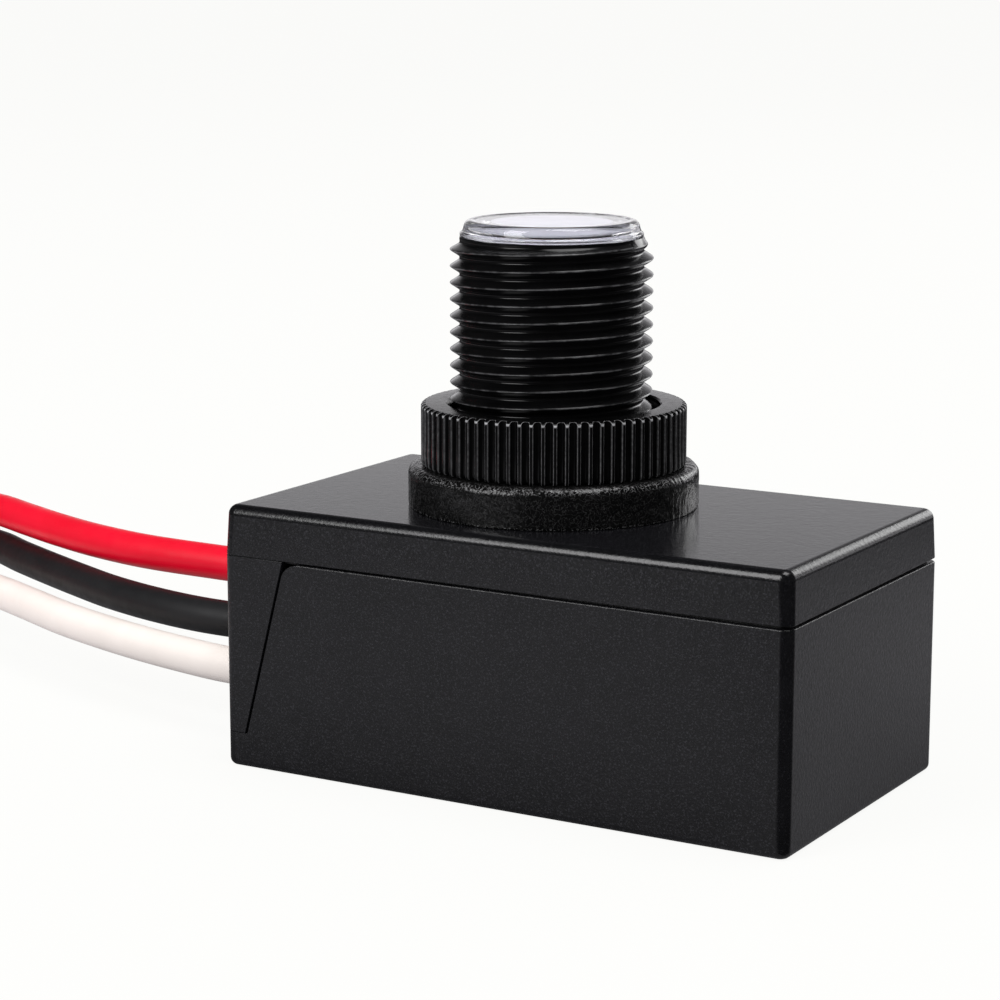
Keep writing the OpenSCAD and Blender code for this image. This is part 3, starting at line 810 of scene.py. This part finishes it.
ACROSS = [(-1.0, 0.0), (-0.85, 0.0), (-0.76, 0.006), (-0.72, 0.025), (-0.685, 0.07), (-0.65, 0.15), (-0.6, 0.26), (-0.53, 0.37), (-0.41, 0.46), (-0.21, 0.52),
          (0.0, 0.54), (0.21, 0.52), (0.41, 0.46), (0.53, 0.37), (0.6, 0.26), (0.65, 0.15), (0.685, 0.07), (0.72, 0.025), (0.76, 0.006), (0.85, 0.0)]


def nut():
    """Hand nut: narrow upright ridges with flutes between them, which run out in the rounded top edge."""
    per = len(ACROSS)
    n = NUT_RIBS * per
    top = NUT_Z + NUT_H
    curve = [(top - 0.46, 14.06)] + [(top - 0.44 + 0.44 * math.sin(math.radians(q)), 13.43 + 0.6 * math.cos(math.radians(q))) for q in range(0, 91, 6)]
    cz, cr = [q[0] for q in curve], [q[1] for q in curve]
    limit_at = lambda z: float(np.interp(z, cz, cr)) if z > top - 0.5 else 14.3
    zs = [NUT_Z, NUT_Z + 0.05, NUT_Z + 0.15, NUT_Z + 0.3, NUT_Z + 2.9, top - 0.7, top - 0.5]
    zs += [top - 0.47 + 0.02 * k for k in range(22)] + [top - 0.035, top - 0.022, top - 0.012, top - 0.004, top]
    verts, idx = [], []
    for z in zs:
        limit = limit_at(z)
        foot = 0.16 * (1 - step(z, NUT_Z, NUT_Z + 0.22))
        row = []
        for k in range(n):
            u, d = ACROSS[k % per]
            a = 2 * math.pi * (k // per + (u + 1) / 2) / NUT_RIBS
            r = NUT_R - d - foot
            h = max(0.05 - abs(r - limit), 0.0) / 0.05
            r = min(r, limit) - h * h * 0.05 / 4
            row.append(len(verts))
            verts.append((RING[0] + r * math.cos(a), RING[1] + r * math.sin(a), z))
        idx.append(row)
    faces = []
    for a, b in zip(idx[:-1], idx[1:]):
        faces += [[a[k], a[(k + 1) % n], b[(k + 1) % n], b[k]] for k in range(n)]
    faces.append(idx[0][::-1])
    faces.append(list(idx[-1]))
    ob = make("lock_nut_body", verts, faces)
    # Threaded opening with a chamfer at each end.
    inner = thread_table(11.27, 11.02, 0.3, 0.3, 0.06)
    start = 54.15 + PITCH * 59.5 / 360 - 15 * PITCH
    tap = helix_rod("tap", RING, start, 8, NUT_Z - 4.5, top + 8.0, lambda q, z: inner(q), lambda z: z, n=144)
    boolean(ob, tap, "DIFFERENCE")
    boolean(ob, revolve("top_chamfer", [(0, top - 0.7), (10.9, top - 0.7), (11.45, top + 0.1), (0, top + 0.1)], RING, 144, closed=False), "DIFFERENCE")
    boolean(ob, revolve("low_chamfer", [(0, NUT_Z - 0.3), (11.9, NUT_Z - 0.3), (10.6, NUT_Z + 1.0), (0, NUT_Z + 1.0)], RING, 144, closed=False), "DIFFERENCE")
    smooth(ob, 42)
    # Painted highlights: how much each point is lightened, along the ridges' edges and on the lips above the flutes.
    us, ds = [q[0] for q in ACROSS] + [1.0], [q[1] for q in ACROSS] + [0.0]
    painted_highlight = ob.data.attributes.new("painted_highlight", "FLOAT", "POINT")
    values = []
    for v in ob.data.vertices:
        x, y, z = v.co.x * 1000 - RING[0], v.co.y * 1000 - RING[1], v.co.z * 1000
        r = math.hypot(x, y)
        u = 2 * ((math.atan2(y, x) / (2 * math.pi) * NUT_RIBS) % 1.0) - 1
        w = 0.0
        if r > 13.2:
            if z < top - 0.3:
                w = 0.27 * math.exp(-((abs(u) - 0.715) / 0.05) ** 2)
            if z > top - 0.47:
                w = max(w * (1 - step(z, top - 0.44, top - 0.3)), math.exp(-((NUT_R - float(np.interp(u, us, ds)) - limit_at(z)) / 0.045) ** 2))
        values.append(w)
    painted_highlight.data.foreach_set("value", values)
    ob.data.materials.clear()
    ob.data.materials.append(M_NUT)
    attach(ob, "nut")
    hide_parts("lock_nut")
    return ob


nut()


def lens():
    z = NIP_TOP
    prof = [(0, z + 0.72), (3.0, z + 0.71), (5.6, z + 0.68), (6.1, z + 0.62), (6.35, z + 0.45), (6.4, z + 0.2), (6.4, z - 0.3), (6.4, z - 2.85), (6.5, z - 3.0), (7.4, z - 3.0), (7.5, z - 2.9),
            (7.5, z - 0.1), (7.55, z + 0.02), (9.38, z + 0.02), (9.5, z + 0.05), (9.57, z + 0.13), (9.59, z + 0.24), (9.57, z + 0.34), (9.48, z + 0.42)]
    prof += [(9.36, z + 0.5), (9.27, z + 0.68), (9.2, z + 0.95)]
    prof += arc((8.42, z + LENS_H - 0.76), 0.76, 8, 90, 10)
    prof += [(8.25, z + LENS_H), (8.12, z + LENS_H - 0.015), (8.04, z + LENS_H - 0.06), (7.9, z + LENS_H - 0.07), (6.0, z + LENS_H - 0.07), (3.0, z + LENS_H - 0.07), (0, z + LENS_H - 0.07)]
    ob = revolve("lens_cap_clear", prof, (NIP_X, 0), 160, closed=False)
    smooth(ob, 40)
    ob.data.materials.append(M_LENS)
    ob.data.materials.append(M_FROST)
    for f in ob.data.polygons:
        c = f.center * 1000
        rc = math.hypot(c.x - NIP_X, c.y)
        f.material_index = 1 if rc < 6.48 and (z + 0.25 < c.z < z + 0.75 or c.z < z - 0.3) else 0
    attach(ob, "housing")
    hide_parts("lens_cap")
    return ob


lens()


# ---------------------------------------------------------------- light cell with its winding track
def cell():
    z = 51.0
    prof = [(0, z), (4.8, z), (5.0, z + 0.2), (5.0, z + 1.5), (4.9, z + 1.62), (4.75, z + 1.7), (4.6, z + 1.66), (4.5, z + 1.6), (0, z + 1.6)]
    ob = revolve("light_cell_disc", prof, (NIP_X, 0), 96, closed=False)
    smooth(ob, 40)
    mat, nt, b = new_mat("cell_ceramic")
    vec = coords(nt)
    nt.links.new(ramp(nt, noise_tex(nt, vec, 500, 4.0), [(0.35, (0.62, 0.3, 0.16)), (0.65, (0.74, 0.42, 0.25))]), b.inputs["Base Color"])
    nt.links.new(spread(nt, noise_tex(nt, vec, 1500, 2.0), 0.35, 0.5), b.inputs["Roughness"])
    nt.links.new(bump(nt, noise_tex(nt, vec, 3000, 2.0), 0.1, 0.00002), b.inputs["Normal"])
    ob.data.materials.append(mat)
    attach(ob, "housing")
    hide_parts("light_sensor")
    line = []
    rows = 7
    for i in range(rows):
        y = -3.3 + 6.6 * i / (rows - 1)
        half = math.sqrt(max(0.2, 3.9 ** 2 - y * y))
        xs = (-half, half) if i % 2 == 0 else (half, -half)
        line += [(NIP_X + xs[0], y, z + 1.62), (NIP_X + xs[0] * 0.3, y, z + 1.62), (NIP_X + xs[1] * 0.3, y, z + 1.62), (NIP_X + xs[1], y, z + 1.62)]
    path = spline(line, 5)
    verts, srows, faces = [], [], []
    tube_rows(path, [0.26] * len(path), 10, verts, srows)
    skin(srows, faces)
    v = np.array(verts)
    v[:, 2] = z + 1.62 + (v[:, 2] - z - 1.62) * 0.35
    tr = smooth(make("light_cell_track", v, faces), 50)
    tm = finish_mat("cell_track", (0.35, 0.1, 0.03), (0.48, 0.16, 0.05), (0.4, 0.55), [(2500, 2.0, 0.1, 0.00001)], patch=300)
    tr.data.materials.append(tm)
    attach(tr, "housing")
    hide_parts("light_sensor")


cell()


# ---------------------------------------------------------------- finishes on the CAD pieces that stay
def dress(node, mat):
    me = NODES[node].data
    me.materials.clear()
    me.materials.append(mat)


dress("cover_seal", M_RUBBER)
dress("lens_seal", M_RUBBER)
dress("lead_grommet", M_RUBBER)
dress("cover_screws", M_STEEL)
dress("board_screws", M_STEEL)
dress("sensor_leads", M_TIN)
dress("lead_tails", M_COPPER)
dress("circuit_board", board_material())
dress("sensor_holder", finish_mat("holder_cream", (0.62, 0.6, 0.54), (0.72, 0.7, 0.64), (0.4, 0.55), [(2400, 3.0, 0.12, 0.00002)], patch=160))
dress("relay", finish_mat("relay_case", (0.02, 0.07, 0.25), (0.03, 0.1, 0.33), (0.3, 0.42), [(2600, 2.0, 0.1, 0.00002)], patch=140))
dress("film_capacitor", finish_mat("film_case", (0.62, 0.42, 0.03), (0.72, 0.52, 0.05), (0.32, 0.46), [(2600, 2.0, 0.1, 0.00002)], patch=140))
dress("smoothing_capacitor", finish_mat("can_sleeve", (0.015, 0.02, 0.07), (0.025, 0.03, 0.1), (0.22, 0.34), [(1800, 2.0, 0.08, 0.00002)], patch=180))
dress("varistor", finish_mat("varistor_coat", (0.02, 0.06, 0.3), (0.04, 0.1, 0.42), (0.28, 0.42), [(1200, 3.0, 0.2, 0.00004)], patch=200))
dress("resistors", banded_material("resistor_body", (0.52, 0.38, 0.2), (0.62, 0.46, 0.26), (0.16, 0.05, 0.03), 180))
dress("rectifier_diodes", banded_material("diode_body", (0.012, 0.012, 0.012), (0.018, 0.018, 0.018), (0.55, 0.55, 0.55), 60))
dress("zener_diode", finish_mat("glass_diode", (0.5, 0.14, 0.06), (0.62, 0.22, 0.1), (0.08, 0.18), [(1800, 2.0, 0.05, 0.00002)], patch=260))
dress("transistor", finish_mat("transistor_body", (0.01, 0.01, 0.01), (0.016, 0.016, 0.016), (0.4, 0.55), [(3000, 3.0, 0.2, 0.00002)], patch=200))


# ---------------------------------------------------------------- floor, world and lights
floor = make("floor", [(-9000, -9000, -0.03), (9000, -9000, -0.03), (9000, 9000, -0.03), (-9000, 9000, -0.03)], [[0, 1, 2, 3]])
fm = bpy.data.materials.new("pale_table")
fm.use_nodes = True
fnt = fm.node_tree
fnt.nodes.clear()


def fnode(kind, **values):
    n = fnt.nodes.new(kind)
    for k, v in values.items():
        setattr(n, k, v)
    return n


# Distance from the case's footprint: the table's glow carries a painted shadow close to the case and a painted lit
# patch that falls off further out.
ftc = fnode("ShaderNodeTexCoord")
fabs = fnode("ShaderNodeVectorMath", operation="ABSOLUTE")
fsub = fnode("ShaderNodeVectorMath", operation="SUBTRACT")
fsub.inputs[1].default_value = (0.033, 0.0185, 0.1)
foff = fnode("ShaderNodeVectorMath", operation="ADD")
foff.inputs[1].default_value = (0.014, 0.0, 0.0)
fmax = fnode("ShaderNodeVectorMath", operation="MAXIMUM")
fmax.inputs[1].default_value = (0.0, 0.0, 0.0)
flen = fnode("ShaderNodeVectorMath", operation="LENGTH")
fnt.links.new(ftc.outputs["Object"], foff.inputs[0])
fnt.links.new(foff.outputs[0], fabs.inputs[0])
fnt.links.new(fabs.outputs[0], fsub.inputs[0])
fnt.links.new(fsub.outputs[0], fmax.inputs[0])
fnt.links.new(fmax.outputs[0], flen.inputs[0])
fmap = fnode("ShaderNodeMapRange")
fmap.inputs["From Max"].default_value = 0.25
fnt.links.new(flen.outputs["Value"], fmap.inputs["Value"])


# Painted shade: less of the glow past the near corner, standing in for a dark room there, and a little less towards the
# back.
fcor = fnode("ShaderNodeVectorMath", operation="SUBTRACT")
fcor.inputs[1].default_value = (0.033, -0.0185, 0.0)
fnrm = fnode("ShaderNodeVectorMath", operation="NORMALIZE")
fdot = fnode("ShaderNodeVectorMath", operation="DOT_PRODUCT")
fdot.inputs[1].default_value = (0.883, -0.469, 0.0)
fnt.links.new(ftc.outputs["Object"], fcor.inputs[0])
fnt.links.new(fcor.outputs[0], fnrm.inputs[0])
fnt.links.new(fnrm.outputs[0], fdot.inputs[0])
fsec = fnode("ShaderNodeMapRange")
fsec.inputs["From Min"].default_value = 0.08
fsec.inputs["From Max"].default_value = 0.36
fsec.inputs["To Min"].default_value = 1.0
fsec.inputs["To Max"].default_value = 0.06
fnt.links.new(fdot.outputs["Value"], fsec.inputs["Value"])
fsep = fnode("ShaderNodeSeparateXYZ")
fnt.links.new(ftc.outputs["Object"], fsep.inputs[0])
fback = fnode("ShaderNodeMapRange")
fback.inputs["From Min"].default_value = -0.03
fback.inputs["From Max"].default_value = 0.03
fback.inputs["To Min"].default_value = 1.0
fback.inputs["To Max"].default_value = 0.86
fnt.links.new(fsep.outputs["Y"], fback.inputs["Value"])
fgain = fnode("ShaderNodeMath", operation="MULTIPLY")
fnt.links.new(fsec.outputs["Result"], fgain.inputs[0])
fnt.links.new(fback.outputs["Result"], fgain.inputs[1])


def painted_shade_glow(stops, strength=None):
    e = fnode("ShaderNodeEmission")
    if strength is not None:
        fnt.links.new(strength, e.inputs["Strength"])
    fnt.links.new(ramp(fnt, fmap.outputs["Result"], [(p, (c, c * 0.985, c * 1.03)) for p, c in stops]), e.inputs["Color"])
    return e.outputs[0]


# Painted shadow near the case in the glow that reflections see, and in the glow that bounce light sees.
mirror_glow_painted_shade = painted_shade_glow([(0.0, 0.12), (0.024, 0.18), (0.08, 0.32), (0.2, 0.45), (0.36, 0.51), (0.48, 0.48), (0.6, 0.18), (0.8, 0.06), (1.0, 0.05)], fgain.outputs[0])
bounce_glow_painted_shade = painted_shade_glow([(0.0, 0.42), (0.1, 0.75), (0.3, 0.9), (1.0, 0.92)])
out = fnode("ShaderNodeOutputMaterial")
add = fnode("ShaderNodeAddShader")
glow = fnode("ShaderNodeEmission")
glow.inputs["Color"].default_value = (1.0, 1.0, 0.985, 1.0)
glow.inputs["Strength"].default_value = 0.925
matte = fnode("ShaderNodeBsdfDiffuse")
matte.inputs["Color"].default_value = (0.05, 0.05, 0.05, 1.0)
fnt.links.new(glow.outputs[0], add.inputs[0])
fnt.links.new(matte.outputs[0], add.inputs[1])
flp = fnode("ShaderNodeLightPath")
fany = fnode("ShaderNodeMath", operation="MAXIMUM")
fnt.links.new(flp.outputs["Is Camera Ray"], fany.inputs[0])
fnt.links.new(flp.outputs["Is Transmission Ray"], fany.inputs[1])
f1 = fnode("ShaderNodeMixShader")
fnt.links.new(flp.outputs["Is Glossy Ray"], f1.inputs[0])
fnt.links.new(bounce_glow_painted_shade, f1.inputs[1])
fnt.links.new(mirror_glow_painted_shade, f1.inputs[2])
f2 = fnode("ShaderNodeMixShader")
fnt.links.new(fany.outputs[0], f2.inputs[0])
fnt.links.new(f1.outputs[0], f2.inputs[1])
fnt.links.new(add.outputs[0], f2.inputs[2])
fnt.links.new(f2.outputs[0], out.inputs["Surface"])
floor.data.materials.append(fm)

world = bpy.data.worlds.new("studio")
SCENE.world = world
world.use_nodes = True
wnt = world.node_tree
wnt.nodes.clear()


def wmath(op, a, b=None, clamp=False):
    m = wnt.nodes.new("ShaderNodeMath")
    m.operation = op
    m.use_clamp = clamp
    for i, v in enumerate((a, b)):
        if v is None:
            continue
        if isinstance(v, (int, float)):
            m.inputs[i].default_value = v
        else:
            wnt.links.new(v, m.inputs[i])
    return m.outputs[0]


def wramp(fac, stops):
    r = wnt.nodes.new("ShaderNodeValToRGB")
    els = r.color_ramp.elements
    while len(els) < len(stops):
        els.new(0.5)
    for e, (p, c) in zip(els, stops):
        e.position = p
        e.color = (c, c, c, 1.0)
    wnt.links.new(fac, r.inputs["Fac"])
    return r.outputs["Color"]


# Room: a lit backdrop behind and to the right, low down; the rest is dim.
wtc = wnt.nodes.new("ShaderNodeTexCoord")
wsep = wnt.nodes.new("ShaderNodeSeparateXYZ")
wnt.links.new(wtc.outputs["Generated"], wsep.inputs[0])
flat = wmath("SQRT", wmath("ADD", wmath("MULTIPLY", wsep.outputs["X"], wsep.outputs["X"]), wmath("MULTIPLY", wsep.outputs["Y"], wsep.outputs["Y"])))
aim = math.radians(98)
toward = wmath("ADD", wmath("MULTIPLY", wsep.outputs["X"], math.cos(aim)), wmath("MULTIPLY", wsep.outputs["Y"], math.sin(aim)))
toward = wmath("DIVIDE", toward, wmath("MAXIMUM", flat, 0.001))
side = wramp(toward, [(0.0, 0.08), (0.6, 0.08), (0.743, 0.5), (0.85, 1.0), (1.0, 1.0)])
up = wramp(wmath("ADD", wmath("MULTIPLY", wsep.outputs["Z"], 0.5), 0.5), [(0.0, 0.3), (0.49, 0.6), (0.5, 1.15), (0.545, 1.15), (0.572, 0.67), (0.6, 0.53), (0.65, 0.38), (0.72, 0.12), (1.0, 0.06)])
room = wnt.nodes.new("ShaderNodeBackground")
room.inputs["Color"].default_value = (0.985, 0.97, 1.0, 1.0)
wnt.links.new(wmath("MULTIPLY", side, up), room.inputs["Strength"])
dome = wnt.nodes.new("ShaderNodeBackground")
dome.inputs["Strength"].default_value = 0.8
seen = wnt.nodes.new("ShaderNodeBackground")
seen.inputs["Color"].default_value = (1.0, 1.0, 0.985, 1.0)
seen.inputs["Strength"].default_value = 0.98
wlp = wnt.nodes.new("ShaderNodeLightPath")
m1 = wnt.nodes.new("ShaderNodeMixShader")
wnt.links.new(wlp.outputs["Is Glossy Ray"], m1.inputs[0])
wnt.links.new(dome.outputs[0], m1.inputs[1])
wnt.links.new(room.outputs[0], m1.inputs[2])
m2 = wnt.nodes.new("ShaderNodeMixShader")
wnt.links.new(wmath("MAXIMUM", wlp.outputs["Is Camera Ray"], wlp.outputs["Is Transmission Ray"]), m2.inputs[0])
wnt.links.new(m1.outputs[0], m2.inputs[1])
wnt.links.new(seen.outputs[0], m2.inputs[2])
wout = wnt.nodes.new("ShaderNodeOutputWorld")
wnt.links.new(m2.outputs[0], wout.inputs["Surface"])


def softbox(name, heading, elevation, distance, size, radiance):
    """Rectangular light aimed at the object; radiance is what a mirror would show."""
    h, e = math.radians(heading), math.radians(elevation)
    aim = Vector((0.0, 0.0, 0.03))
    at = aim + distance * Vector((math.cos(e) * math.cos(h), math.cos(e) * math.sin(h), math.sin(e)))
    li = bpy.data.lights.new(name, "AREA")
    li.shape = "RECTANGLE"
    li.size, li.size_y = size
    li.energy = radiance * math.pi * size[0] * size[1]
    ob = bpy.data.objects.new(name, li)
    SCENE.collection.objects.link(ob)
    ob.location = at
    ob.rotation_euler = (aim - at).to_track_quat("-Z", "Y").to_euler()
    ob.visible_camera = False
    return ob


softbox("front_left", -114, 33, 1.1, (0.5, 0.7), 6.6)
softbox("back_right", 79, 18, 1.1, (0.5, 0.34), 3.3)
softbox("overhead", 10, 76, 1.1, (0.6, 0.6), 5.0)

SCENE.view_settings.view_transform = "Standard"
SCENE.view_settings.look = "None"
SCENE.view_settings.exposure = 0.0
SCENE.view_settings.gamma = 1.0
